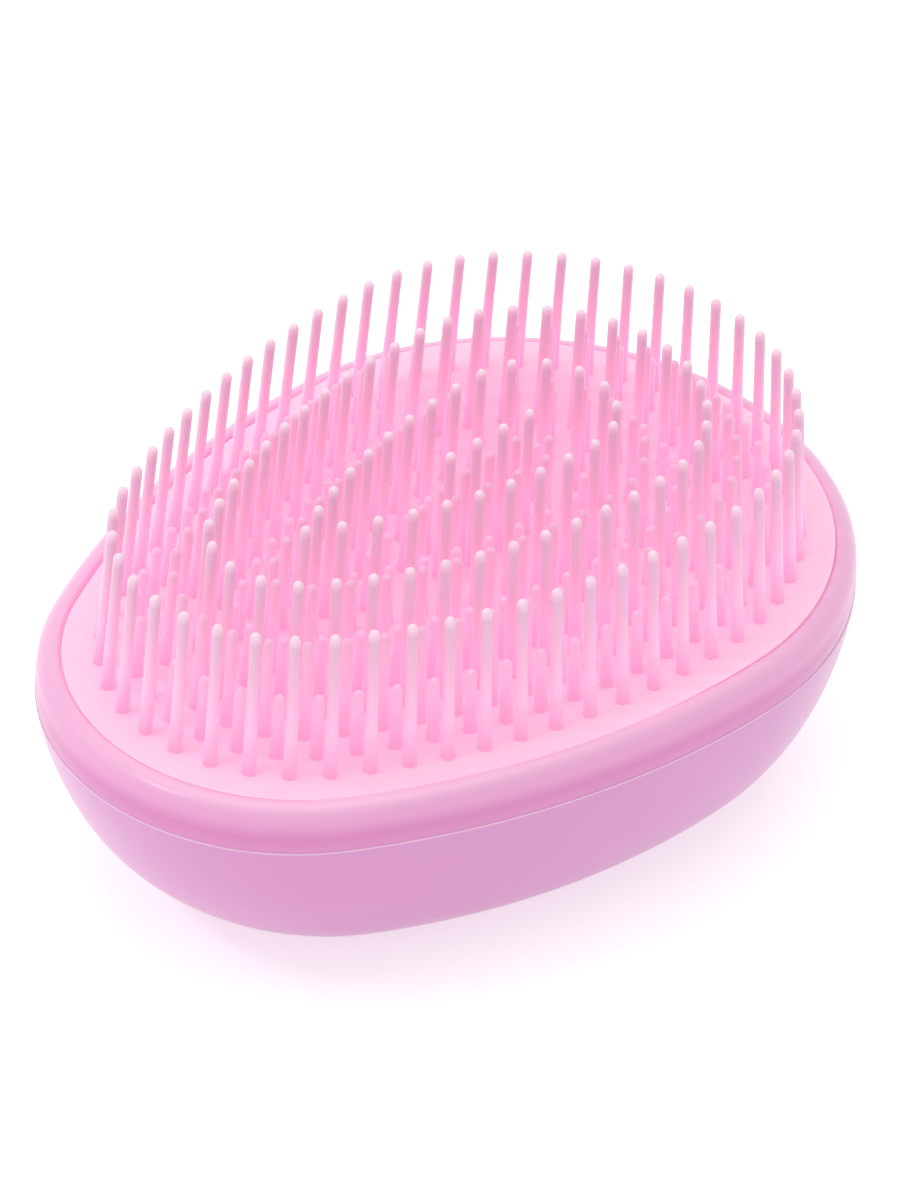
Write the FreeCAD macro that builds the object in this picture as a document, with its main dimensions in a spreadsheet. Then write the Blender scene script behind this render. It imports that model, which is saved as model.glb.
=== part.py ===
import FreeCAD, Part
import math
import os

import Sketcher
from FreeCAD import Placement, Rotation, Vector

# Palm-held scalp massager brush, lying on its palm shell with the pins up.
# Millimetres, +Z up, the nose towards -Y.  The origin is under the middle of
# the object, on the surface that it rests on.

os.makedirs("parts", exist_ok=True)
doc = FreeCAD.newDocument("scalp_massager_brush")

# ---------------------------------------------------------------- sizes
# The plan outline is an egg of four tangent arcs: a half circle at the rear,
# a smaller arc at the nose and one long arc along each flank.  Every other
# outline is this egg, inset by so much all round.
SIZES = [
    # name, millimetres
    ("rear_radius", 42.8),
    ("nose_radius", 31.6),
    ("centre_span", 41.6),
    # palm shell
    ("parting_height", 26.9),
    ("hull_depth_power", 1.45),
    ("hull_side_power", 7.38),
    ("hull_rake", 1.9),
    ("shell_wall", 2.4),
    ("shell_floor", 2.6),
    ("tongue_height", 1.5),
    # rim ring
    ("rim_height", 5.75),
    ("rim_draft", 0.35),
    ("rim_round", 2.45),
    ("skirt_wall", 1.2),
    ("lip_thickness", 1.1),
    ("lip_chamfer", 0.35),
    # dished pad and the carrier plate under it
    ("pad_inset", 3.25),
    ("pad_centre_depth", 2.85),
    ("pad_thickness", 1.8),
    ("dish_across_radius", 295),
    ("dish_along_radius", 565),
    ("flange_width", 0.8),
    ("flange_thickness", 0.9),
    ("carrier_thickness", 2.0),
    # screws that hold the carrier plate on the bosses of the shell
    ("standoff_length", 1.4),
    ("boss_diameter", 6.4),
    ("standoff_diameter", 8.4),
    ("seat_thickness", 1.8),
    ("screw_diameter", 2.6),
    ("screw_reach", 9.5),
    ("screw_head_diameter", 5.2),
    ("screw_head_height", 1.3),
    ("recess_width", 0.7),
    ("recess_span", 2.8),
    ("recess_depth", 0.8),
    ("rear_screw_offset", 19),
    ("nose_screw_offset", 13),
    ("rear_screw_place", 24),
    ("nose_screw_place", 22),
    # pins
    ("pin_ring_inset", 8),
    ("ring_step", 4),
    ("pin_pitch", 4.8),
    ("long_pin", 19.7),
    ("middle_pin", 13.7),
    ("short_pin", 8.8),
    ("pin_base_diameter", 1.7),
    ("pin_tip_diameter", 1.35),
    # clearances
    ("pad_gap", 0.15),
    ("skirt_gap", 0.1),
    ("carrier_gap", 0.2),
    ("screw_gap", 0.3),
]
sheet = doc.addObject("Spreadsheet::Sheet", "Sizes")
for row, (name, size) in enumerate(SIZES, start=1):
    sheet.set(f"A{row}", name)
    sheet.set(f"B{row}", str(size))
    sheet.setAlias(f"B{row}", name)
doc.recompute()


def value(expression):
    """The number that an expression of sheet sizes has now."""
    return float(sheet.evalExpression(expression))


# levels that more than one piece meets at
RIM_TOP = "(Sizes.parting_height + Sizes.rim_height)"
LIP_UNDER = f"({RIM_TOP} - Sizes.lip_thickness)"
FLANGE_UNDER = f"({LIP_UNDER} - Sizes.flange_thickness)"
PAD_CENTRE = f"({RIM_TOP} - Sizes.pad_centre_depth)"
PLATE_CENTRE = f"({PAD_CENTRE} - Sizes.pad_thickness)"
BOSS_TOP = f"({PLATE_CENTRE} - Sizes.carrier_thickness - Sizes.standoff_length)"
SCREW_SEAT = f"({BOSS_TOP} + Sizes.seat_thickness)"
FLANGE_INSET = "(Sizes.pad_inset - Sizes.flange_width)"


# ---------------------------------------------------------------- sketches
def new_body(name):
    body = doc.addObject("PartDesign::Body", name)
    body.Label = name
    return body


def new_sketch(body, name, plane, lift="0"):
    """A sketch on one of the body's own planes, lifted along its normal."""
    sketch = body.newObject("Sketcher::SketchObject", name)
    plane_object = next(o for o in body.Origin.OriginFeatures if o.Role == plane)
    sketch.AttachmentSupport = [(plane_object, "")]
    sketch.MapMode = "FlatFace"
    sketch.setExpression("AttachmentOffset.Base.z", lift)
    return sketch


def bind(sketch, kind, *where, size):
    """A dimension whose size is an expression of sheet sizes."""
    number = sketch.addConstraint(Sketcher.Constraint(kind, *where, value(size)))
    sketch.setExpression(f"Constraints[{number}]", size)


def egg_sketch(body, name, lift, inset="0", scale="1", rake="0"):
    """The egg outline on a level plane: inset all round, scaled, moved back."""
    rear_size = f"Sizes.rear_radius * {scale} - {inset}"
    nose_size = f"Sizes.nose_radius * {scale} - {inset}"
    span_size = f"Sizes.centre_span * {scale}"
    centre_size = f"(Sizes.centre_span + Sizes.nose_radius - Sizes.rear_radius) / 2 * {scale} + {rake}"
    rear, nose, span, centre = (value(s) for s in (rear_size, nose_size, span_size, centre_size))
    flank = (span**2 + rear**2 - nose**2) / (2 * (rear - nose))
    turn = math.atan2(span, flank - rear)

    sketch = new_sketch(body, name, "XY_Plane", lift)
    arcs = [
        ((0, centre), rear, 0, math.pi),
        ((flank - rear, centre), flank, math.pi, math.pi + turn),
        ((0, centre - span), nose, math.pi + turn, 2 * math.pi - turn),
        ((rear - flank, centre), flank, 2 * math.pi - turn, 2 * math.pi),
    ]
    for (x, y), radius, first, last in arcs:
        circle = Part.Circle(Vector(x, y, 0), Vector(0, 0, 1), radius)
        sketch.addGeometry(Part.ArcOfCircle(circle, first, last))
    for arc in range(4):
        sketch.addConstraint(Sketcher.Constraint("Tangent", arc, 2, (arc + 1) % 4, 1))
    for arc in (0, 2):
        sketch.addConstraint(Sketcher.Constraint("PointOnObject", arc, 3, -2))
    for arc in (1, 3):
        sketch.addConstraint(Sketcher.Constraint("Horizontal", 0, 3, arc, 3))
    bind(sketch, "Radius", 0, size=rear_size)
    bind(sketch, "Radius", 2, size=nose_size)
    bind(sketch, "DistanceY", 2, 3, 0, 3, size=span_size)
    bind(sketch, "DistanceY", -1, 1, 0, 3, size=centre_size)
    return sketch


def corner_sketch(body, name, plane, corners, lift="0", arcs=None):
    """A closed outline whose corners are pairs of expressions.

    arcs gives, for the side that leaves a corner, its radius and the side of
    that line on which the arc's centre lies (+1 left, -1 right)."""
    sketch = new_sketch(body, name, plane, lift)
    points = [Vector(value(across), value(up), 0) for across, up in corners]
    count = len(points)
    arcs = arcs or {}
    joins = []
    for index, start in enumerate(points):
        end = points[(index + 1) % count]
        if index not in arcs:
            sketch.addGeometry(Part.LineSegment(start, end))
            joins.append((index, 1, 2))
            continue
        size, hand = arcs[index]
        radius = value(size)
        chord = end - start
        normal = Vector(-chord.y, chord.x, 0).normalize()
        rise = math.sqrt(radius**2 - chord.Length**2 / 4)
        centre = (start + end) * 0.5 + normal * rise * hand
        middle = centre - normal * radius * hand
        arc = Part.Arc(start, middle, end)
        sketch.addGeometry(arc)
        placed = sketch.Geometry[index]
        forward = placed.StartPoint.distanceToPoint(start) < placed.EndPoint.distanceToPoint(start)
        joins.append((index, 1, 2) if forward else (index, 2, 1))
    for index in range(count):
        geometry, _, last = joins[index]
        following, first, _ = joins[(index + 1) % count]
        sketch.addConstraint(Sketcher.Constraint("Coincident", geometry, last, following, first))
    for index, (across, up) in enumerate(corners):
        geometry, first, _ = joins[index]
        bind(sketch, "DistanceX", -1, 1, geometry, first, size=across)
        bind(sketch, "DistanceY", -1, 1, geometry, first, size=up)
    for index, (size, _) in arcs.items():
        bind(sketch, "Radius", index, size=size)
    return sketch


def circle_sketch(body, name, lift, centres, diameter):
    """Circles of one diameter at pairs of expressions, on a level plane."""
    sketch = new_sketch(body, name, "XY_Plane", lift)
    for index, (across, along) in enumerate(centres):
        centre = Vector(value(across), value(along), 0)
        circle = Part.Circle(centre, Vector(0, 0, 1), value(diameter) / 2)
        sketch.addGeometry(circle)
        bind(sketch, "DistanceX", -1, 1, index, 3, size=across)
        bind(sketch, "DistanceY", -1, 1, index, 3, size=along)
        bind(sketch, "Diameter", index, size=diameter)
    return sketch


def extrude(body, sketch, kind, name, length, downwards=False):
    """A Pad or a Pocket of a sketch, along +Z or down."""
    feature = body.newObject(f"PartDesign::{kind}", name)
    feature.Profile = sketch
    feature.setExpression("Length", length)
    # a Pocket runs against its sketch's normal, a Pad along it
    feature.Reversed = downwards if kind == "Pad" else not downwards
    return feature


def loft(body, kind, name, sketches):
    feature = body.newObject(f"PartDesign::{kind}", name)
    feature.Profile = sketches[0]
    feature.Sections = sketches[1:]
    feature.Ruled = False
    return feature


# ---------------------------------------------------------------- palm shell
# One hollow moulding: a boat-like hull that fills the palm, flat underneath,
# with a tongue round its mouth for the rim ring and four bosses inside.
HULL_STATIONS = [0, 0.2, 0.4, 0.58, 0.73, 0.84, 0.92, 0.97, 0.99]
SCREW_PLACES = [
    ("Sizes.rear_screw_offset", "Sizes.rear_screw_place"),
    ("-Sizes.rear_screw_offset", "Sizes.rear_screw_place"),
    ("Sizes.nose_screw_offset", "-Sizes.nose_screw_place"),
    ("-Sizes.nose_screw_offset", "-Sizes.nose_screw_place"),
]


def hull_sketches(body, name, bottom, inset):
    """Egg sections from the mouth down to the bottom."""
    sketches = []
    for number, station in enumerate(HULL_STATIONS):
        depth = f"{station} / {HULL_STATIONS[-1]}"
        lift = f"Sizes.parting_height - (Sizes.parting_height - {bottom}) * {depth}"
        scale = f"pow(1 - pow({station}; Sizes.hull_depth_power); 1 / Sizes.hull_side_power)"
        rake = f"Sizes.hull_rake * {depth}"
        sketches.append(egg_sketch(body, f"{name}_{number}", lift, inset, scale, rake))
    return sketches


def make_palm_shell():
    body = new_body("palm_shell")
    loft(body, "AdditiveLoft", "hull", hull_sketches(body, "hull_section", "0", "0"))
    tongue_inset = "(Sizes.skirt_wall + Sizes.skirt_gap)"
    tongue = egg_sketch(body, "tongue_outline", "Sizes.parting_height", tongue_inset)
    extrude(body, tongue, "Pad", "tongue", "Sizes.tongue_height")
    tongue_top = "Sizes.parting_height + Sizes.tongue_height"
    mouth = egg_sketch(body, "mouth_outline", tongue_top, "Sizes.shell_wall")
    extrude(body, mouth, "Pocket", "mouth", "Sizes.tongue_height", downwards=True)
    cavity = hull_sketches(body, "cavity_section", "Sizes.shell_floor", "Sizes.shell_wall")
    loft(body, "SubtractiveLoft", "cavity", cavity)
    boss_root = "Sizes.shell_floor / 2"
    bosses = circle_sketch(body, "boss_circles", boss_root, SCREW_PLACES, "Sizes.boss_diameter")
    extrude(body, bosses, "Pad", "bosses", f"{BOSS_TOP} - Sizes.shell_floor / 2")
    holes = circle_sketch(body, "boss_holes", BOSS_TOP, SCREW_PLACES, "Sizes.screw_diameter")
    boss_bore = "Sizes.screw_reach - Sizes.seat_thickness + Sizes.screw_diameter / 2"
    extrude(body, holes, "Pocket", "boss_bores", boss_bore, downwards=True)
    return body


# ---------------------------------------------------------------- rim ring
# One moulding that snaps down over the tongue.  Its lip holds the flange of
# the pad down, and its outside carries the side of the hull up to the pad.
def make_rim_ring():
    body = new_body("rim_ring")
    spine = egg_sketch(body, "rim_path", "Sizes.parting_height")
    centre = "(Sizes.centre_span + Sizes.nose_radius - Sizes.rear_radius) / 2"
    outer = "Sizes.rear_radius"
    step = "Sizes.parting_height + Sizes.tongue_height + Sizes.skirt_gap"
    wall_inside = f"{outer} - Sizes.pad_inset + Sizes.flange_width + Sizes.carrier_gap"
    corners = [
        (outer, "Sizes.parting_height"),
        (f"{outer} - Sizes.rim_draft", f"{RIM_TOP} - Sizes.rim_round"),
        (f"{outer} - Sizes.rim_draft - Sizes.rim_round", RIM_TOP),
        (f"{outer} - Sizes.pad_inset + Sizes.lip_chamfer", RIM_TOP),
        (f"{outer} - Sizes.pad_inset", f"{RIM_TOP} - Sizes.lip_chamfer"),
        (f"{outer} - Sizes.pad_inset", LIP_UNDER),
        (wall_inside, LIP_UNDER),
        (wall_inside, step),
        (f"{outer} - Sizes.skirt_wall", step),
        (f"{outer} - Sizes.skirt_wall", "Sizes.parting_height"),
    ]
    section = corner_sketch(
        body, "rim_section", "XZ_Plane", corners, f"-({centre})", arcs={1: ("Sizes.rim_round", 1)}
    )
    ring = body.newObject("PartDesign::AdditivePipe", "ring")
    ring.Profile = section
    ring.Spine = spine
    return body


# ---------------------------------------------------------------- dished plates
def dish_cut(body, name, depth, above):
    """Cuts away what lies above or below a dish.

    The dish is curved across and, more gently, along the brush.  depth makes
    it the surface that lies that far under the pad's own."""
    across = f"(Sizes.dish_across_radius + {depth})"
    half = "Sizes.rear_radius"
    end = f"{PAD_CENTRE} - {depth} + {across} - sqrt(pow({across}; 2) - pow({half}; 2))"
    far = "2 * Sizes.parting_height" if above else "0"
    corners = [(f"-{half}", end), (half, end), (half, far), (f"-{half}", far)]
    sketch = corner_sketch(body, f"{name}_section", "XZ_Plane", corners, arcs={0: (across, 1)})
    axis_height = f"{PAD_CENTRE} + Sizes.dish_along_radius"
    height = value(axis_height)
    axis = sketch.addGeometry(Part.LineSegment(Vector(-1, height, 0), Vector(1, height, 0)), True)
    sketch.addConstraint(Sketcher.Constraint("Horizontal", axis))
    bind(sketch, "DistanceY", -1, 1, axis, 1, size=axis_height)
    groove = body.newObject("PartDesign::Groove", name)
    groove.Profile = sketch
    groove.ReferenceAxis = (sketch, ["Axis0"])
    groove.Midplane = True
    groove.setExpression("Angle", "4 * asin(Sizes.rear_radius / Sizes.dish_along_radius)")
    return groove


# ---------------------------------------------------------------- pad
# The soft moulding that the pins stand on, with a thin flat flange that the
# lip of the rim ring clamps.  The pins belong to the same moulding.
def make_pin_pad():
    body = new_body("pin_pad")
    field = egg_sketch(body, "field_outline", BOSS_TOP, "(Sizes.pad_inset + Sizes.pad_gap)")
    extrude(body, field, "Pad", "field", f"{RIM_TOP} - {BOSS_TOP}")
    dish_cut(body, "pad_underside", "Sizes.pad_thickness", above=False)
    flange = egg_sketch(body, "flange_outline", FLANGE_UNDER, FLANGE_INSET)
    extrude(body, flange, "Pad", "flange", "Sizes.flange_thickness")
    dish_cut(body, "pad_top", "0", above=True)
    return body


# ---------------------------------------------------------------- carrier plate
# A rigid plate that backs the pad and its flange all over and keeps the pad
# dished.  Four standoffs reach down to the bosses of the shell.
def make_carrier_plate():
    body = new_body("carrier_plate")
    blank = egg_sketch(body, "plate_outline", BOSS_TOP, FLANGE_INSET)
    extrude(body, blank, "Pad", "blank", f"{FLANGE_UNDER} - {BOSS_TOP}")
    dish_cut(body, "plate_top", "Sizes.pad_thickness", above=True)
    dish_cut(body, "plate_underside", "(Sizes.pad_thickness + Sizes.carrier_thickness)", above=False)
    posts = circle_sketch(body, "standoff_circles", BOSS_TOP, SCREW_PLACES, "Sizes.standoff_diameter")
    extrude(body, posts, "Pad", "standoffs", f"{PLATE_CENTRE} - {BOSS_TOP}")
    head = "Sizes.screw_head_diameter + 2 * Sizes.screw_gap"
    wells = circle_sketch(body, "head_circles", SCREW_SEAT, SCREW_PLACES, head)
    extrude(body, wells, "Pocket", "head_wells", f"{RIM_TOP} - {SCREW_SEAT}")
    hole = "Sizes.screw_diameter + 2 * Sizes.screw_gap"
    holes = circle_sketch(body, "hole_circles", SCREW_SEAT, SCREW_PLACES, hole)
    extrude(body, holes, "Pocket", "screw_holes", "Sizes.seat_thickness", downwards=True)
    return body


# ---------------------------------------------------------------- patterns of one shape
def turned_profile(body, name, corners, arcs=None):
    """A solid turned about Z from a half section."""
    sketch = corner_sketch(body, f"{name}_section", "XZ_Plane", corners, arcs=arcs)
    turned = body.newObject("PartDesign::Revolution", name)
    turned.Profile = sketch
    turned.ReferenceAxis = (sketch, ["V_Axis"])
    turned.Angle = 360
    return turned


def group(name, shape, placements):
    """Separate copies of one solid, as one node."""
    copies = []
    for placement in placements:
        copy = shape.copy()
        copy.Placement = placement.multiply(shape.Placement)
        copies.append(copy)
    feature = doc.addObject("Part::Feature", name)
    feature.Label = name
    feature.Shape = Part.makeCompound(copies)
    feature.Placement = Placement()
    return feature


# ---------------------------------------------------------------- screws
# Four small pan-head tapping screws with a cross recess.
def make_screw_pattern():
    body = new_body("screw_pattern")
    head = "Sizes.screw_head_diameter / 2"
    shank = "Sizes.screw_diameter / 2"
    corners = [
        ("0", "-Sizes.screw_reach"),
        (shank, f"-Sizes.screw_reach + {shank}"),
        (shank, "0"),
        (head, "0"),
        (head, "Sizes.screw_head_height / 2"),
        (f"{head} - Sizes.screw_head_height / 2", "Sizes.screw_head_height"),
        ("0", "Sizes.screw_head_height"),
    ]
    turned_profile(body, "screw_blank", corners)
    half_width = "Sizes.recess_width / 2"
    half_span = "Sizes.recess_span / 2"
    for name, across, along in (("slot", half_span, half_width), ("cross_slot", half_width, half_span)):
        corners = [
            (f"-{across}", f"-{along}"),
            (across, f"-{along}"),
            (across, along),
            (f"-{across}", along),
        ]
        sketch = corner_sketch(body, f"{name}_outline", "XY_Plane", corners, "Sizes.screw_head_height")
        extrude(body, sketch, "Pocket", name, "Sizes.recess_depth", downwards=True)
    return body


def make_screws(pattern):
    seat = value(SCREW_SEAT)
    places = [Placement(Vector(value(x), value(y), seat), Rotation()) for x, y in SCREW_PLACES]
    return group("carrier_screws", pattern.Shape, places)


# ---------------------------------------------------------------- pins
# Thin tapered pins with round ends, at right angles to the dished pad, in
# rings that follow the egg.  Long, short and middle lengths take turns from
# the outermost ring inwards, and a row on the axis fills the middle.
PIN_LENGTHS = ["long", "short", "middle"]


def make_pin_pattern(name):
    body = new_body(f"{name}_pin_pattern")
    tip = "Sizes.pin_tip_diameter / 2"
    corners = [
        ("0", "0"),
        ("Sizes.pin_base_diameter / 2", "0"),
        (tip, f"Sizes.{name}_pin - {tip}"),
        ("0", f"Sizes.{name}_pin"),
    ]
    turned_profile(body, f"{name}_pin", corners, arcs={2: (tip, 1)})
    return body


class EggRing:
    """The egg at one inset, walked by its arc length from the nose."""

    def __init__(self, inset):
        rear, nose, span = (value(f"Sizes.{n}") for n in ("rear_radius", "nose_radius", "centre_span"))
        flank = (span**2 + rear**2 - nose**2) / (2 * (rear - nose))
        self.centre = (span + nose - rear) / 2
        self.span = span
        self.shift = flank - rear
        self.nose = max(nose - inset, 0)
        self.flank = flank - inset
        self.rear = rear - inset
        # deep inside, the two flank arcs meet in a point before the nose arc
        self.turn = min(math.atan2(span, self.shift), math.acos(self.shift / self.flank))
        self.nose_run = self.nose * (math.pi / 2 - self.turn)
        self.flank_run = self.flank * self.turn
        self.half = self.nose_run + self.flank_run + self.rear * math.pi / 2

    def point(self, run):
        """The point that lies this far from the nose, up to half way round."""
        if run < self.nose_run:
            angle = run / self.nose
            return self.nose * math.sin(angle), self.centre - self.span - self.nose * math.cos(angle)
        run -= self.nose_run
        if run < self.flank_run:
            angle = self.turn - run / self.flank
            return self.flank * math.cos(angle) - self.shift, self.centre - self.flank * math.sin(angle)
        angle = (run - self.flank_run) / self.rear
        return self.rear * math.cos(angle), self.centre + self.rear * math.sin(angle)

    def points(self, pitch):
        """Evenly spaced points, the first on the axis at the nose."""
        count = round(2 * self.half / pitch)
        places = []
        for number in range(count):
            run = 2 * self.half * number / count
            x, y = self.point(min(run, 2 * self.half - run))
            places.append((x if run <= self.half else -x, y))
        return places


def pin_placement(x, y):
    """On the pad's dish at x, y, square to its surface."""
    across = value("Sizes.dish_across_radius")
    along = value("Sizes.dish_along_radius")
    lean = math.asin(x / across)
    reach = along - across + across * math.cos(lean)
    pitch = math.asin(y / reach)
    height = value(PAD_CENTRE) + along - reach * math.cos(pitch)
    upright = Vector(-math.sin(lean), -math.cos(lean) * math.sin(pitch), math.cos(lean) * math.cos(pitch))
    return Placement(Vector(x, y, height), Rotation(Vector(0, 0, 1), upright))


def make_pin_rings(patterns):
    rear = value("Sizes.rear_radius")
    inset = value("Sizes.pin_ring_inset")
    step = value("Sizes.ring_step")
    pitch = value("Sizes.pin_pitch")
    rings = []
    while rear - inset > step / 2:
        length = PIN_LENGTHS[len(rings) % len(PIN_LENGTHS)]
        places = [pin_placement(x, y) for x, y in EggRing(inset).points(pitch)]
        rings.append(group(f"pin_ring_{len(rings) + 1:02d}_{length}", patterns[length].Shape, places))
        inset += step
    length = PIN_LENGTHS[len(rings) % len(PIN_LENGTHS)]
    inner = EggRing(inset - step)
    tail = inner.centre + inner.rear - step
    nose = inner.point(0)[1] + step
    count = int((tail - nose) / pitch) + 1
    row = [pin_placement(0, tail - pitch * number) for number in range(count)]
    rings.append(group("pin_row_middle", patterns[length].Shape, row))
    return rings


# ---------------------------------------------------------------- build and check
shell = make_palm_shell()
rim = make_rim_ring()
pad = make_pin_pad()
carrier = make_carrier_plate()
screw_pattern = make_screw_pattern()
pin_patterns = {name: make_pin_pattern(name) for name in PIN_LENGTHS}
doc.recompute()
screws = make_screws(screw_pattern)
pins = make_pin_rings(pin_patterns)
doc.recompute()

for thing in doc.Objects:
    if "Invalid" in thing.State or "Error" in thing.State:
        raise RuntimeError(f"{thing.Label} failed: {thing.State}")

nodes = [shell, rim, pad, carrier, screws] + pins
for node in nodes:
    if node.Shape.isNull() or not node.Shape.isValid():
        raise RuntimeError(f"{node.Label} has no valid shape")
for node in nodes:
    node.Shape.exportStep(f"parts/{node.Label}.step")
    box = node.Shape.optimalBoundingBox(False, False)
    print(f"{node.Label}: {len(node.Shape.Solids)} solids, {node.Shape.Volume:.1f} mm3")
    for axis, low, high in (
        ("x", box.XMin, box.XMax),
        ("y", box.YMin, box.YMax),
        ("z", box.ZMin, box.ZMax),
    ):
        print(f"    {axis} {low:.2f} to {high:.2f}")
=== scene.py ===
import math

import bmesh
import bpy
from mathutils import Matrix, Vector


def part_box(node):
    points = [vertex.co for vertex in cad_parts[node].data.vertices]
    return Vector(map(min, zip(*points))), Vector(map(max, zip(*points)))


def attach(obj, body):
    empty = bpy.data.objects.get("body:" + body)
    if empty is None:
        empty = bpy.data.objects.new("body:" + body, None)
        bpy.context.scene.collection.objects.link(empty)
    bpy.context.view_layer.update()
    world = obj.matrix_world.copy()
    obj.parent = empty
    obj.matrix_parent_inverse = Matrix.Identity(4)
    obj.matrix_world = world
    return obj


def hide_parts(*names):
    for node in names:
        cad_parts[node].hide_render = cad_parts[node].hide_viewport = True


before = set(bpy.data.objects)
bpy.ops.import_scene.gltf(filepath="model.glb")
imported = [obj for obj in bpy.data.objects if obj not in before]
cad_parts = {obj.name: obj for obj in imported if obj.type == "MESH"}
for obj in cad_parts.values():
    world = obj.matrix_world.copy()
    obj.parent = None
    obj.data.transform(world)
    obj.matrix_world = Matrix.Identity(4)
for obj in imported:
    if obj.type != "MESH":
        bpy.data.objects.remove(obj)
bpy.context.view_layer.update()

# ---------------------------------------------------------------- palm shell
# The hull that fills the palm: one hollow injection moulding in glossy ABS
# with a little pearl pigment, shaped like a small boat underneath.  A tongue
# round its mouth locates the rim ring, and four bosses take the screws.
MM = 0.001
rim_low, rim_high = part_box("rim_ring")
shell_low, shell_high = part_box("palm_shell")
plate_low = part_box("carrier_plate")[0]

rear_radius = rim_high.x
half_length = rim_high.y
nose_radius = 31.6 * MM
rear_centre = half_length - rear_radius
centre_span = 2 * half_length - rear_radius - nose_radius
# the flank arcs touch both end arcs
flank_radius = (centre_span**2 + rear_radius**2 - nose_radius**2) / (2 * (rear_radius - nose_radius))
parting_height = rim_low.z
rim_top = rim_high.z

mouth_round = 0.1 * MM
hull_rake = 1.9 * MM
shell_wall = 2.4 * MM
shell_floor = 2.6 * MM
tongue_inset = 1.3 * MM
boss_radius = 3.2 * MM
boss_top = plate_low.z
pilot_radius = 1.3 * MM
pilot_depth = 9 * MM
SCREW_PLACES = [(19, 24), (-19, 24), (13, -22), (-13, -22)]  # mm

# points nearer than the first are one point; the second tells levels apart
merge_reach = 0.004 * MM
hair = 0.001 * MM

# shares of the hull's depth at which its outline is stepped down
HULL_STATIONS = [
    0.0015, 0.0052, 0.06, 0.13, 0.2, 0.28, 0.36, 0.44, 0.52, 0.59, 0.66, 0.72,
    0.77, 0.815, 0.855, 0.885, 0.912, 0.935, 0.953, 0.967, 0.978, 0.985, 0.99,
]
# how full the hull stays with depth, and how roundly it turns in at the bilge
fullness = 1.45
bilge_roundness = 1 / 7.38


def start_mesh(name, add, **size):
    """Adds a primitive with nothing else selected, left in edit mode."""
    bpy.ops.object.select_all(action="DESELECT")
    add(**size)
    piece = bpy.context.object
    piece.name = piece.data.name = name
    bpy.ops.object.mode_set(mode="EDIT")
    bpy.ops.mesh.select_mode(type="VERT")
    bpy.ops.mesh.select_all(action="SELECT")
    return piece


def start_point(name, x, y, z):
    """A mesh of one vertex: a tiny plane merged to its middle, then moved."""
    piece = start_mesh(name, bpy.ops.mesh.primitive_plane_add, size=MM)
    bpy.ops.mesh.merge(type="CENTER")
    bpy.ops.transform.translate(value=(x, y, z))
    return piece


def select_where(test):
    """Selects the vertices, in edit mode, whose place passes the test."""
    bpy.ops.mesh.select_mode(type="VERT")
    bpy.ops.mesh.select_all(action="DESELECT")
    mesh = bmesh.from_edit_mesh(bpy.context.object.data)
    for vertex in mesh.verts:
        vertex.select = test(vertex.co)
    mesh.select_flush(True)
    bmesh.update_edit_mesh(bpy.context.object.data)


def merge_joins():
    bpy.ops.mesh.select_all(action="SELECT")
    bpy.ops.mesh.remove_doubles(threshold=merge_reach)
    bpy.ops.mesh.select_all(action="SELECT")


def spin_round_egg():
    """Spins the selection from the +X side right round the four arcs of the egg."""
    turn = math.atan2(centre_span, flank_radius - rear_radius)
    arcs = [
        (0, rear_centre, math.pi, 66),
        (flank_radius - rear_radius, rear_centre, turn, 30),
        (0, rear_centre - centre_span, math.pi - 2 * turn, 34),
        (rear_radius - flank_radius, rear_centre, turn, 30),
    ]
    for x, y, angle, steps in arcs:
        bpy.ops.mesh.spin(steps=steps, angle=angle, center=(x, y, 0), axis=(0, 0, -1))
    merge_joins()


def step(x, y, z):
    """Extrudes the selection and moves the new end."""
    bpy.ops.mesh.extrude_region_move(TRANSFORM_OT_translate={"value": (x, y, z)})


def step_loop(inset_now, inset_next, centre_y, move):
    """Extrudes the selected outline loop to another inset about the axis, and moves it."""
    step(0, 0, 0)
    across, along = [(reach - inset_next) / (reach - inset_now) for reach in (rear_radius, half_length)]
    bpy.ops.transform.resize(value=(across, along, 1), center_override=(0, centre_y, 0))
    bpy.ops.transform.translate(value=move)


def close_up(smooth_angle=35):
    """Merges doubles, turns the faces outwards, leaves edit mode and shades smooth."""
    merge_joins()
    bpy.ops.mesh.normals_make_consistent(inside=False)
    bpy.ops.object.mode_set(mode="OBJECT")
    bpy.ops.object.shade_smooth_by_angle(angle=math.radians(smooth_angle))


def hull_share(station):
    """Width of the hull at a share of its depth: full sides, then a round bilge."""
    return (1 - station**fullness) ** bilge_roundness


def run_down_hull(inset_now, wall, bottom):
    """Steps the mouth loop down the hull, a wall inside its surface, and closes the floor."""
    depth = parting_height - bottom
    last = HULL_STATIONS[-1]
    before, centre_y, drop = 0, 0, 0
    inset = inset_now
    for station in HULL_STATIONS:
        narrow = 1 - hull_share(station)
        # the same share is taken off both ways, so the outline keeps its form
        step(0, 0, 0)
        scales = []
        for reach in (rear_radius, half_length):
            now = reach * (1 - before) - inset
            scales.append((reach * (1 - narrow) - wall) / now)
        bpy.ops.transform.resize(value=(*scales, 1), center_override=(0, centre_y, 0))
        next_y = hull_rake * station / last
        next_drop = depth * station / last
        bpy.ops.transform.translate(value=(0, next_y - centre_y, drop - next_drop))
        before, inset, centre_y, drop = narrow, wall, next_y, next_drop
    for share in (0.75, 0.6, 0.35):
        step(0, 0, 0)
        bpy.ops.transform.resize(value=(share, share, 1), center_override=(0, centre_y, 0))
    step(0, 0, 0)
    bpy.ops.mesh.merge(type="CENTER")


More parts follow.
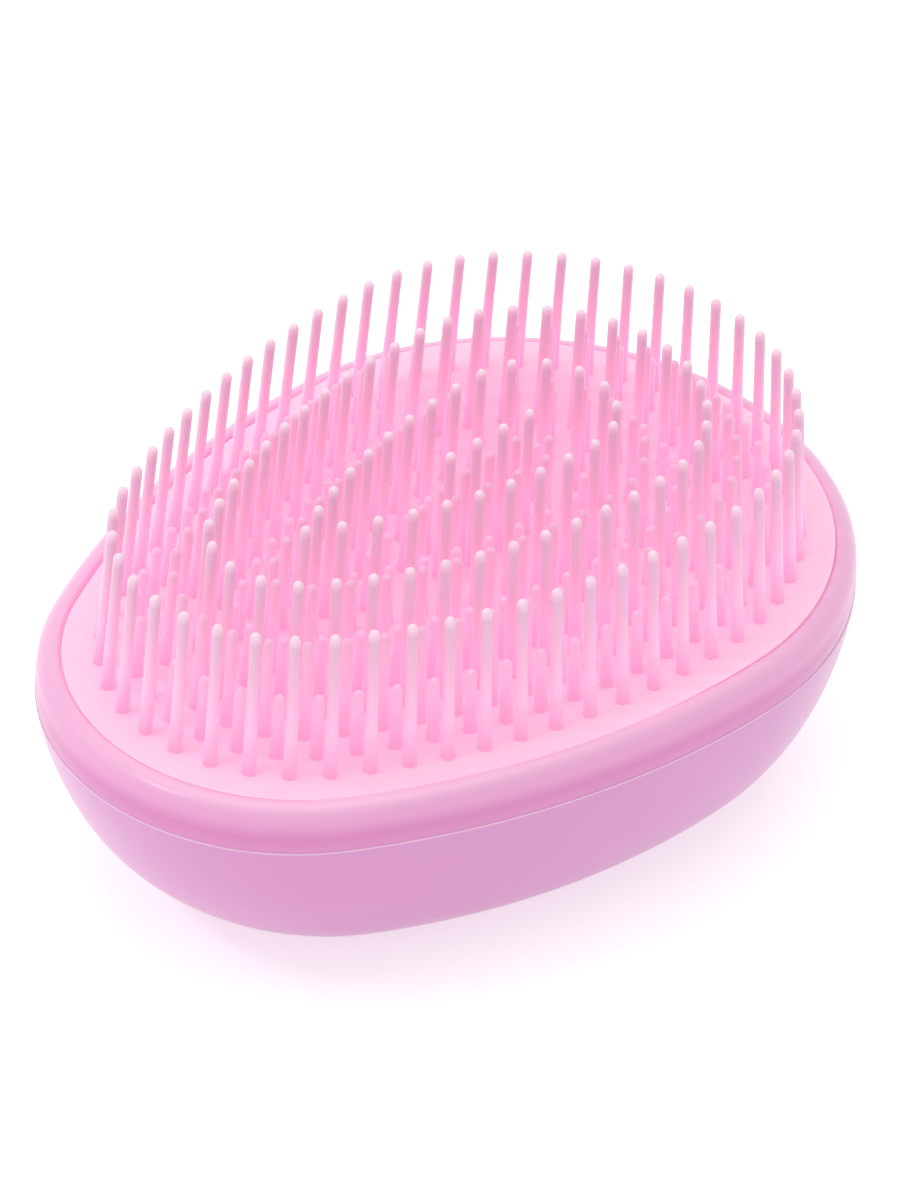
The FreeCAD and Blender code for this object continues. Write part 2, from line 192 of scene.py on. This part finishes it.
palm_shell = start_point("palm_shell_moulding", rear_radius - mouth_round, rear_centre, parting_height)
spin_round_egg()
run_down_hull(mouth_round, 0, 0)
select_where(lambda place: place.z > parting_height - hair)
step_loop(mouth_round, tongue_inset, 0, (0, 0, 0))
step_loop(0, 0, 0, (0, 0, shell_high.z - parting_height))
step_loop(tongue_inset, shell_wall, 0, (0, 0, 0))
step_loop(0, 0, 0, (0, 0, parting_height - shell_high.z))
run_down_hull(shell_wall, shell_wall, shell_floor)
close_up()

# each boss is a cylinder standing in the floor, its top inset and sunk for the screw
screw_boss = start_mesh(
    "screw_boss",
    bpy.ops.mesh.primitive_cylinder_add,
    vertices=32,
    radius=boss_radius,
    depth=boss_top - shell_floor / 2,
)
bpy.ops.transform.translate(value=(0, 0, boss_top / 2 + shell_floor / 4))
bpy.ops.mesh.select_mode(type="FACE")
bpy.ops.mesh.select_all(action="DESELECT")
boss_faces = bmesh.from_edit_mesh(screw_boss.data)
for face in boss_faces.faces:
    face.select = face.normal.z > 0.9
bmesh.update_edit_mesh(screw_boss.data)
bpy.ops.mesh.inset(thickness=boss_radius - pilot_radius)
step(0, 0, -pilot_depth)
close_up()


def copy_mesh(pattern, name, place):
    """A copy with its own mesh, set in its place inside that mesh."""
    copy = bpy.data.objects.new(name, pattern.data.copy())
    copy.data.transform(place)
    bpy.context.collection.objects.link(copy)
    return copy


def join_into(piece, others):
    bpy.ops.object.select_all(action="DESELECT")
    for other in others:
        other.select_set(True)
    piece.select_set(True)
    bpy.context.view_layer.objects.active = piece
    bpy.ops.object.join()


boss_places = [Matrix.Translation((x * MM, y * MM, 0)) for x, y in SCREW_PLACES]
shell_bosses = [copy_mesh(screw_boss, "screw_boss_copy", place) for place in boss_places]
bpy.data.objects.remove(screw_boss)
join_into(palm_shell, shell_bosses)


def srgb(code):
    """A hex colour as linear red, green, blue and alpha."""
    parts = [int(code[place:place + 2], 16) / 255 for place in (1, 3, 5)]
    linear = [part / 12.92 if part <= 0.04045 else ((part + 0.055) / 1.055) ** 2.4 for part in parts]
    return (*linear, 1)


def add_node(material, kind, settings=None, **links):
    """Adds a node, sets its properties, sockets or ramp stops, and links its named inputs."""
    node = material.node_tree.nodes.new(kind)
    for name, setting in (settings or {}).items():
        if name == "stops":
            elements = node.color_ramp.elements
            while len(elements) < len(setting):
                elements.new(0.5)
            for element, (place, colour) in zip(elements, setting):
                element.position = place
                element.color = srgb(colour)
        elif hasattr(node, name):
            setattr(node, name, setting)
        else:
            node.inputs[int(name) if name.isdigit() else name].default_value = setting
    for name, source in links.items():
        socket = int(name[1:]) if name[0] == "_" else name.replace("_", " ")
        material.node_tree.links.new(source, node.inputs[socket])
    return node


def new_material(name):
    material = bpy.data.materials.new(name)
    material.use_nodes = True
    material.node_tree.nodes.clear()
    return material


def moulded_abs(name, low_height, high_height, cloud, stops):
    """Glossy ABS from a polished mould: a smooth skin with a faint cloud of pigment, its colour run by
    height with painted shade and highlight.
    """
    material = new_material(name)
    spot = add_node(material, "ShaderNodeTexCoord")
    # the colour runs with height, from low_height to high_height, through the given stops; besides the
    # plastic's own colour they carry painted shade low down and a painted highlight high up
    height = add_node(material, "ShaderNodeSeparateXYZ", Vector=spot.outputs["Object"])
    share = add_node(
        material,
        "ShaderNodeMapRange",
        {"1": low_height, "2": high_height},
        _0=height.outputs["Z"],
    )
    body = add_node(material, "ShaderNodeValToRGB", {"stops": stops}, Fac=share.outputs[0])
    # pigment flow about 14 mm across, and a slow sink of the skin about 20 mm long
    clouds = add_node(
        material,
        "ShaderNodeTexNoise",
        {"Scale": 70, "Detail": 1, "Roughness": 0.4},
        Vector=spot.outputs["Object"],
    )
    drift = add_node(
        material,
        "ShaderNodeValToRGB",
        {"stops": [(0.1, cloud), (0.9, "#FFFFFF")]},
        Fac=clouds.outputs["Fac"],
    )
    tint = add_node(
        material,
        "ShaderNodeMix",
        {"data_type": "RGBA", "blend_type": "MULTIPLY", "0": 0.5},
        _6=body.outputs["Color"],
        _7=drift.outputs["Color"],
    )
    ripple = add_node(
        material,
        "ShaderNodeTexNoise",
        {"Scale": 50, "Detail": 0},
        Vector=spot.outputs["Object"],
    )
    skin = add_node(
        material,
        "ShaderNodeBump",
        {"Strength": 0.05, "Distance": 0.0001},
        Height=ripple.outputs["Fac"],
    )
    gloss = add_node(
        material,
        "ShaderNodeMapRange",
        {"1": 0.1, "2": 0.9, "3": 0.26, "4": 0.36},
        _0=clouds.outputs["Fac"],
    )
    surface = add_node(
        material,
        "ShaderNodeBsdfPrincipled",
        {
            "IOR": 1.53,
            "Coat Weight": 0.25,
            "Coat Roughness": 0.2,
            "Sheen Weight": 0.1,
            "Sheen Roughness": 0.4,
        },
        Base_Color=tint.outputs[2],
        Roughness=gloss.outputs[0],
        Normal=skin.outputs[0],
    )
    add_node(material, "ShaderNodeOutputMaterial", Surface=surface.outputs[0])
    return material


# ABS with pearl pigment, even in its own colour and glossy; the hull is painted darker towards its bottom, a
# painted shade, and the thin edge of the mouth is painted pale, a painted highlight where it catches the
# light from above
pearl_abs = moulded_abs(
    "pearl_lilac_abs_moulded",
    shell_low.z,
    parting_height,
    "#F6ECF6",
    [(0, "#AC5F9B"), (0.12, "#BE6DAC"), (0.5, "#D086BE"), (0.99, "#D58FC4"), (0.995, "#ECC4DF")],
)
palm_shell.data.materials.clear()
palm_shell.data.materials.append(pearl_abs)
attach(palm_shell, "root")
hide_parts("palm_shell")

# ------------------------------------------------------------------ rim ring
# A separate ABS moulding that snaps over the tongue of the shell.  Its upper
# edge rolls softly inwards and ends in a thin lip that holds the pad down.
lip_thickness = 1.1 * MM
lip_under = rim_top - lip_thickness
rim_draft = 0.35 * MM
rim_roll = 2.45 * MM
lip_flat = 0.1 * MM
lip_chamfer_drop = 0.32 * MM
lip_rebate = 1.0 * MM
pad_opening = 3.25 * MM
skirt_wall = 1.2 * MM
skirt_foot = parting_height + 1.6 * MM

rim_ring = start_point("rim_ring_moulding", rear_radius - mouth_round, rear_centre, parting_height)
side_height = rim_top - rim_roll - parting_height
# the side leans in more and more towards the roll
for lean, rise in ((0.05, 0.3), (0.15, 0.25), (0.3, 0.25), (0.5, 0.2)):
    step(lean * (mouth_round - rim_draft), 0, rise * side_height)
roll_centre = (rear_radius - rim_draft - rim_roll, rear_centre, rim_top - rim_roll)
bpy.ops.mesh.spin(steps=10, angle=math.radians(90), center=roll_centre, axis=(0, 1, 0))
lip_edge = rear_radius - rim_draft - rim_roll
step(-lip_flat, 0, 0)
step(rear_radius - pad_opening - lip_edge + lip_flat, 0, -lip_chamfer_drop)
step(0, 0, lip_under - rim_top + lip_chamfer_drop)
step(lip_rebate, 0, 0)
step(0, 0, skirt_foot - lip_under)
step(pad_opening - lip_rebate - skirt_wall, 0, 0)
step(0, 0, parting_height - skirt_foot)
bpy.ops.mesh.select_all(action="SELECT")
bpy.ops.mesh.remove_doubles(threshold=hair)
select_where(lambda place: place.z < parting_height + hair)
bpy.ops.mesh.edge_face_add()
bpy.ops.mesh.select_all(action="SELECT")
spin_round_egg()
close_up(30)

# ABS again, with more pink in it than the shell; painted lighter at the top of the roll, a painted
# highlight, and darker lower down the side, a painted shade
rim_abs = moulded_abs(
    "rose_abs_moulded",
    parting_height,
    rim_top,
    "#FAF1F8",
    [(0, "#DA8AC0"), (0.35, "#D981BA"), (0.8, "#EEAAD5"), (1, "#F8BEE2")],
)
rim_ring.data.materials.clear()
rim_ring.data.materials.append(rim_abs)
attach(rim_ring, "root")
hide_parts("rim_ring")

# ------------------------------------------------------------------- pin pad
# The soft pad that carries the pins: a thin sheet of pink thermoplastic
# elastomer, dished to follow the head.  Its thin flange lies under the lip
# of the rim ring.
pad_inset = 3.35 * MM
pad_thickness = 1.8 * MM
pad_centre = 29.8 * MM
dish_across = 295 * MM
dish_along = 565 * MM
flange_inset = 2.45 * MM
flange_thickness = 0.9 * MM
flange_clearance = 0.05 * MM
shoulder_depth = 0.62 * MM
shoulder_clearance = 0.04 * MM
shoulder_reach = 0.15 * MM
# steps inward from the pad's edge, in mm, shortest at the edge
PAD_STEPS = (0.4, 0.8, 1.6, 2.4, *[3] * 10)

# a patch of the dish: an arc across, swept along a longer arc
dish_patch = start_point("dish_patch", 0, 0, pad_centre)
for arc, radius, axis, turn_axis in (
    (17, dish_across, (0, -1, 0), "Y"),
    (12, dish_along, (-1, 0, 0), "X"),
):
    centre = (0, 0, pad_centre + radius)
    bpy.ops.mesh.spin(steps=60, angle=math.radians(arc), center=centre, axis=axis)
    merge_joins()
    bpy.ops.transform.rotate(value=math.radians(arc / 2), orient_axis=turn_axis, center_override=centre)
bpy.ops.object.mode_set(mode="OBJECT")

pin_pad = start_point("pin_pad_moulding", rear_radius - pad_inset, rear_centre, pad_centre)
spin_round_egg()
inset = pad_inset
for step_in in PAD_STEPS:
    step_loop(inset, inset + step_in * MM, 0, (0, 0, 0))
    inset += step_in * MM
step(0, 0, 0)
bpy.ops.mesh.merge(type="CENTER")
merge_joins()
bpy.ops.mesh.normals_make_consistent(inside=False)
bpy.ops.object.mode_set(mode="OBJECT")
settle = pin_pad.modifiers.new("settle on the dish", "SHRINKWRAP")
settle.target = dish_patch
settle.wrap_method = "PROJECT"
settle.use_project_z = True
settle.use_negative_direction = True
sheet = pin_pad.modifiers.new("sheet thickness", "SOLIDIFY")
sheet.thickness = pad_thickness
sheet.offset = -1
soft_edge = pin_pad.modifiers.new("soft edge", "BEVEL")
soft_edge.width = 0.12 * MM
soft_edge.segments = 3
soft_edge.limit_method = "ANGLE"
soft_edge.angle_limit = math.radians(60)
for modifier in [modifier.name for modifier in pin_pad.modifiers]:
    bpy.ops.object.modifier_apply(modifier=modifier)
bpy.data.objects.remove(dish_patch)
bpy.ops.object.shade_smooth_by_angle(angle=math.radians(50))

flange_under = lip_under - flange_thickness
pad_flange = start_point("pad_flange", rear_radius - flange_inset, rear_centre, flange_under)
step(0, 0, flange_thickness - flange_clearance)
# a shoulder under the lip's chamfer, below the lowest of the pad's edge, keeps
# the gap round the pad shallow
step(flange_inset - pad_opening - shoulder_clearance, 0, 0)
step(0, 0, lip_thickness + flange_clearance - shoulder_depth)
step(pad_opening - pad_inset - shoulder_reach, 0, 0)
step(0, 0, shoulder_depth - lip_thickness - flange_thickness)
select_where(lambda place: place.z < flange_under + hair)
bpy.ops.mesh.edge_face_add()
bpy.ops.mesh.select_all(action="SELECT")
spin_round_egg()
close_up()


def soft_elastomer(name):
    """A matt TPE skin: fine spark-eroded grain from the mould."""
    material = new_material(name)
    spot = add_node(material, "ShaderNodeTexCoord")
    # the mould's grain is some 0.05 mm; drawn at about 0.4 mm so that it can show
    grain = add_node(
        material,
        "ShaderNodeTexNoise",
        {"Scale": 2500, "Detail": 2},
        Vector=spot.outputs["Object"],
    )
    skin = add_node(
        material,
        "ShaderNodeBump",
        {"Strength": 0.08, "Distance": 0.00003},
        Height=grain.outputs["Fac"],
    )
    return material, spot.outputs["Object"], skin.outputs[0]


# thermoplastic elastomer as moulded: matt, with light let in below its skin; the pad carries a faint painted
# glow, and the flange down in the gap round the pad is painted a deeper pink with a strong painted glow, so
# that the gap shows pink where it lies in shade
for piece, name, stops, glow, glow_strength in (
    (pin_pad, "blush_tpe_moulded", [(0.3, "#FCCFE5"), (0.7, "#FED2E7")], (0.95, 0.6, 0.8, 1), 0.06),
    (pad_flange, "deep_rose_tpe_moulded", [(0.3, "#FFA4CC"), (0.7, "#FFAACF")], (0.95, 0.3, 0.55, 1), 0.9),
):
    pad_tpe, pad_spot, pad_skin = soft_elastomer(name)
    # the flow of the melt leaves faint clouds about 11 mm across
    pad_flow = add_node(pad_tpe, "ShaderNodeTexNoise", {"Scale": 90, "Detail": 2}, Vector=pad_spot)
    pad_colour = add_node(pad_tpe, "ShaderNodeValToRGB", {"stops": stops}, Fac=pad_flow.outputs["Fac"])
    pad_surface = add_node(
        pad_tpe,
        "ShaderNodeBsdfPrincipled",
        {
            "IOR": 1.48,
            "Roughness": 0.55,
            "Subsurface Weight": 0.35,
            "Subsurface Radius": (1.0, 0.45, 0.6),
            "Subsurface Scale": 0.0012,
            "Emission Color": glow,
            "Emission Strength": glow_strength,
        },
        Base_Color=pad_colour.outputs["Color"],
        Normal=pad_skin,
    )
    add_node(pad_tpe, "ShaderNodeOutputMaterial", Surface=pad_surface.outputs[0])
    piece.data.materials.clear()
    piece.data.materials.append(pad_tpe)
join_into(pin_pad, [pad_flange])
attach(pin_pad, "root")
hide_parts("pin_pad")

# ---------------------------------------------------------------------- pins
# The pins are moulded in one with the pad, in three lengths that take turns
# from ring to ring.  Each is a slim round taper with a domed tip, and stands
# square to the dish.
PIN_LENGTHS = {"long": 19.7 * MM, "middle": 13.7 * MM, "short": 8.8 * MM}
pin_base = 0.85 * MM
pin_tip = 0.675 * MM
pin_pitch = 4.8 * MM
pin_ring_inset = 8 * MM
ring_step = 4 * MM
pin_root = 0.3 * MM
root_flare = 1.15
middle_row_start = 14 * MM


def select_top():
    top = max(vertex.co.z for vertex in bmesh.from_edit_mesh(bpy.context.object.data).verts)
    select_where(lambda place: place.z > top - hair)


def model_pin(name, length):
    """One pin, standing on the origin, with its flared root a little below it."""
    cylinder = bpy.ops.mesh.primitive_cylinder_add
    pin = start_mesh(name, cylinder, vertices=8, radius=pin_base, depth=2 * pin_root)
    select_where(lambda place: place.z < 0)
    bpy.ops.transform.resize(value=(root_flare, root_flare, 1), center_override=(0, 0, 0))
    select_top()
    radius, height = pin_base, pin_root
    profile = [(0.45 * (pin_base + pin_tip), 0.55 * length), (pin_tip, length - pin_tip)]
    for angle in (30, 55, 75):
        turn = math.radians(angle)
        profile.append((pin_tip * math.cos(turn), length - pin_tip + pin_tip * math.sin(turn)))
    for next_radius, next_height in profile:
        step(0, 0, next_height - height)
        share = next_radius / radius
        bpy.ops.transform.resize(value=(share, share, 1), center_override=(0, 0, next_height))
        radius, height = next_radius, next_height
    step(0, 0, length - height)
    bpy.ops.mesh.merge(type="CENTER")
    close_up(60)
    # how high each point stands, as a share of the longest pin, for the painted shade, highlight and glow
    # from foot to tip
    along = pin.data.attributes.new("along_pin", "FLOAT", "POINT")
    along.data.foreach_set("value", [max(v.co.z, 0) / PIN_LENGTHS["long"] for v in pin.data.vertices])
    return pin


def ring_points(inset):
    """Evenly spaced points round the egg at one inset, the first at the nose."""
    shift = flank_radius - rear_radius
    nose, side, rear = max(nose_radius - inset, 0), flank_radius - inset, rear_radius - inset
    # deep inside, the two flank arcs meet in a point before the nose arc
    turn = min(math.atan2(centre_span, shift), math.acos(shift / side))
    nose_run = nose * (math.pi / 2 - turn)
    half = nose_run + side * turn + rear * math.pi / 2
    count = round(2 * half / pin_pitch)
    points = []
    for number in range(count):
        run = 2 * half * number / count
        left = run > half
        run = min(run, 2 * half - run)
        if run < nose_run:
            angle = run / nose
            x, y = nose * math.sin(angle), rear_centre - centre_span - nose * math.cos(angle)
        elif run < nose_run + side * turn:
            angle = turn - (run - nose_run) / side
            x, y = side * math.cos(angle) - shift, rear_centre - side * math.sin(angle)
        else:
            angle = (run - nose_run - side * turn) / rear
            x, y = rear * math.cos(angle), rear_centre + rear * math.sin(angle)
        points.append((-x if left else x, y))
    return points


def pin_stance(x, y):
    """On the dish at x, y, square to it."""
    lean = math.asin(x / dish_across)
    reach = dish_along - dish_across + dish_across * math.cos(lean)
    pitch = math.asin(y / reach)
    height = pad_centre + dish_along - reach * math.cos(pitch)
    upright = Vector((-math.sin(lean), -math.cos(lean) * math.sin(pitch), math.cos(lean) * math.cos(pitch)))
    turn = Vector((0, 0, 1)).rotation_difference(upright)
    return Matrix.Translation((x, y, height)) @ turn.to_matrix().to_4x4()


pin_patterns = {name: model_pin(f"{name}_pin_pattern", length) for name, length in PIN_LENGTHS.items()}

pin_tpe, _, pin_skin = soft_elastomer("rose_tpe_pin_moulded")
along_pin = add_node(pin_tpe, "ShaderNodeAttribute", {"attribute_name": "along_pin"})
# painted light: the tops of long pins, which stand clear of the rest, are painted milky, a painted
# highlight, above greyer upper shafts, a painted shade; lower down, every pin is painted the deep pink that
# its neighbours reflect onto it, and a painted glow, strongest low down, brightens the pins though they are
# no lamp
pin_glow = add_node(
    pin_tpe, "ShaderNodeMapRange", {"1": 0.3, "2": 1.0, "3": 0.4, "4": 0.14}, _0=along_pin.outputs["Fac"]
)
pin_colour_and_painted_light = add_node(
    pin_tpe,
    "ShaderNodeValToRGB",
    {
        "stops": [
            (0.0, "#F37EAD"),
            (0.1, "#F491B8"),
            (0.3, "#EAA2C0"),
            (0.6, "#D3A4BD"),
            (0.92, "#D0ABC1"),
            (1.0, "#E6D2DD"),
        ]
    },
    Fac=along_pin.outputs["Fac"],
)
pin_surface = add_node(
    pin_tpe,
    "ShaderNodeBsdfPrincipled",
    {
        "IOR": 1.48,
        "Roughness": 0.42,
        "Subsurface Weight": 0.5,
        "Subsurface Radius": (1.0, 0.4, 0.6),
        "Subsurface Scale": 0.001,
        "Emission Color": (1.0, 0.54, 0.78, 1),
    },
    Base_Color=pin_colour_and_painted_light.outputs["Color"],
    Normal=pin_skin,
    Emission_Strength=pin_glow.outputs[0],
)
add_node(pin_tpe, "ShaderNodeOutputMaterial", Surface=pin_surface.outputs[0])


def finish_pins(name, node, pattern, points):
    """Copies a pin to each point and joins the copies into one ring."""
    copies = [copy_mesh(pattern, "pin_copy", pin_stance(x, y)) for x, y in points]
    copies[0].name = copies[0].data.name = name
    join_into(copies[0], copies[1:])
    copies[0].data.materials.clear()
    copies[0].data.materials.append(pin_tpe)
    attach(copies[0], "root")
    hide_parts(node)


for number in range(9):
    length = ("long", "short", "middle")[number % 3]
    name = f"pin_ring_{number + 1:02d}_{length}"
    points = ring_points(pin_ring_inset + number * ring_step)
    finish_pins(f"{name}_moulded", name, pin_patterns[length], points)
middle_row = [(0, middle_row_start - pin_pitch * number) for number in range(4)]
finish_pins("pin_row_middle_moulded", "pin_row_middle", pin_patterns["long"], middle_row)
for pattern in pin_patterns.values():
    bpy.data.objects.remove(pattern)

# ------------------------------------------------- carrier plate and screws
# The plate that backs the soft pad, in natural glass-filled polypropylene,
# and the four small zinc-plated screws that hold it to the shell's bosses.
carrier_pp = new_material("natural_polypropylene_moulded")
carrier_spot = add_node(carrier_pp, "ShaderNodeTexCoord")
# glass fibre near the skin gives streaks about 2 mm long
fibre_run = add_node(
    carrier_pp, "ShaderNodeMapping", {"Scale": (900, 250, 900)}, Vector=carrier_spot.outputs["Object"]
)
fibres = add_node(carrier_pp, "ShaderNodeTexNoise", {"Scale": 1, "Detail": 3}, Vector=fibre_run.outputs[0])
carrier_colour = add_node(
    carrier_pp,
    "ShaderNodeValToRGB",
    {"stops": [(0.35, "#E8DDE4"), (0.65, "#F2EAF0")]},
    Fac=fibres.outputs["Fac"],
)
carrier_skin = add_node(
    carrier_pp, "ShaderNodeBump", {"Strength": 0.15, "Distance": 0.00003}, Height=fibres.outputs["Fac"]
)
carrier_surface = add_node(
    carrier_pp,
    "ShaderNodeBsdfPrincipled",
    {"IOR": 1.49, "Roughness": 0.5},
    Base_Color=carrier_colour.outputs["Color"],
    Normal=carrier_skin.outputs[0],
)
add_node(carrier_pp, "ShaderNodeOutputMaterial", Surface=carrier_surface.outputs[0])
screw_zinc = new_material("zinc_plated_steel")
screw_spot = add_node(screw_zinc, "ShaderNodeTexCoord")
# zinc spangle about 0.5 mm across, passivated to a faint blue
spangle = add_node(
    screw_zinc, "ShaderNodeTexNoise", {"Scale": 2000, "Detail": 2}, Vector=screw_spot.outputs["Object"]
)
zinc_colour = add_node(
    screw_zinc,
    "ShaderNodeValToRGB",
    {"stops": [(0.35, "#B9BFC6"), (0.65, "#CDD1D4")]},
    Fac=spangle.outputs["Fac"],
)
zinc_finish = add_node(screw_zinc, "ShaderNodeMapRange", {"3": 0.25, "4": 0.42}, _0=spangle.outputs["Fac"])
zinc_surface = add_node(
    screw_zinc,
    "ShaderNodeBsdfPrincipled",
    {"Metallic": 1.0},
    Base_Color=zinc_colour.outputs["Color"],
    Roughness=zinc_finish.outputs[0],
)
add_node(screw_zinc, "ShaderNodeOutputMaterial", Surface=zinc_surface.outputs[0])
for node, material in (("carrier_plate", carrier_pp), ("carrier_screws", screw_zinc)):
    for slot in bpy.data.objects[node].material_slots:
        slot.material = material

# ---------------------------------------------------- floor, light and view
# A white sweep in a bright white room, with one big softbox overhead and two
# small ones at the left and the front.
bpy.ops.object.select_all(action="DESELECT")
bpy.ops.mesh.primitive_plane_add(size=12)
studio_floor = bpy.context.object
studio_floor.name = "studio_floor"
# just under the brush, so that the two faces never coincide
studio_floor.data.transform(Matrix.Translation((0, 0, -0.15 * MM)))
floor_white = new_material("white_paper_sweep")
floor_spot = add_node(floor_white, "ShaderNodeTexCoord")
floor_tooth = add_node(floor_white, "ShaderNodeTexNoise", {"Scale": 4}, Vector=floor_spot.outputs["Object"])
floor_colour = add_node(
    floor_white,
    "ShaderNodeValToRGB",
    {"stops": [(0.3, "#DCDCDC"), (0.7, "#DEDEDE")]},
    Fac=floor_tooth.outputs["Fac"],
)
floor_surface = add_node(
    floor_white,
    "ShaderNodeBsdfPrincipled",
    {"Roughness": 0.9, "Specular IOR Level": 0.1, "Emission Color": (1, 1, 1, 1), "Emission Strength": 0.55},
    Base_Color=floor_colour.outputs["Color"],
)
add_node(floor_white, "ShaderNodeOutputMaterial", Surface=floor_surface.outputs[0])
studio_floor.data.materials.append(floor_white)

# the white walls are lit brightest low down, level with the sweep
room = bpy.data.worlds.new("white_room")
room.use_nodes = True
room.node_tree.nodes.clear()
room_way = add_node(room, "ShaderNodeTexCoord")
room_height = add_node(room, "ShaderNodeSeparateXYZ", Vector=room_way.outputs["Generated"])
room_light = add_node(
    room, "ShaderNodeMapRange", {"1": 0.2, "2": 0.45, "3": 1.0, "4": 0.56}, _0=room_height.outputs["Z"]
)
room_walls = add_node(room, "ShaderNodeBackground", {"Color": (1, 1, 1, 1)}, Strength=room_light.outputs[0])
add_node(room, "ShaderNodeOutputWorld", Surface=room_walls.outputs[0])
bpy.context.scene.world = room


def add_softbox(name, place, target, size, power, seen_in_gloss=True):
    light = bpy.data.lights.new(name, "AREA")
    light.shape = "SQUARE"
    light.size = size
    light.energy = power
    lamp = bpy.data.objects.new(name, light)
    lamp.location = place
    lamp.rotation_euler = (Vector(target) - Vector(place)).to_track_quat("-Z", "Y").to_euler()
    lamp.visible_glossy = seen_in_gloss
    bpy.context.collection.objects.link(lamp)


add_softbox("overhead_softbox", (-0.05, 0.05, 0.9), (0, 0, 0.02), 0.8, 2.8)
add_softbox("left_softbox", (-0.5, -0.42, 0.55), (0, 0, 0.03), 0.16, 0.65, seen_in_gloss=False)
add_softbox("front_softbox", (-0.2, -0.48, 0.66), (0, 0, 0.03), 0.11, 0.5)

camera = bpy.data.objects.new("camera", bpy.data.cameras.new("camera"))
camera.data.lens = 103.44
camera.data.sensor_width = 36
camera.data.clip_start = 0.01
camera.rotation_mode = "QUATERNION"
camera.rotation_quaternion = Matrix(
    (
        (0.69701644, -0.46901923, 0.54239197),
        (0.71546193, 0.40450329, -0.56964138),
        (0.04777342, 0.78511021, 0.61751085),
    )
).to_quaternion()
camera.location = (0.240091, -0.251116, 0.298909)
bpy.context.collection.objects.link(camera)
bpy.context.scene.camera = camera
bpy.context.scene.view_settings.view_transform = "Standard"
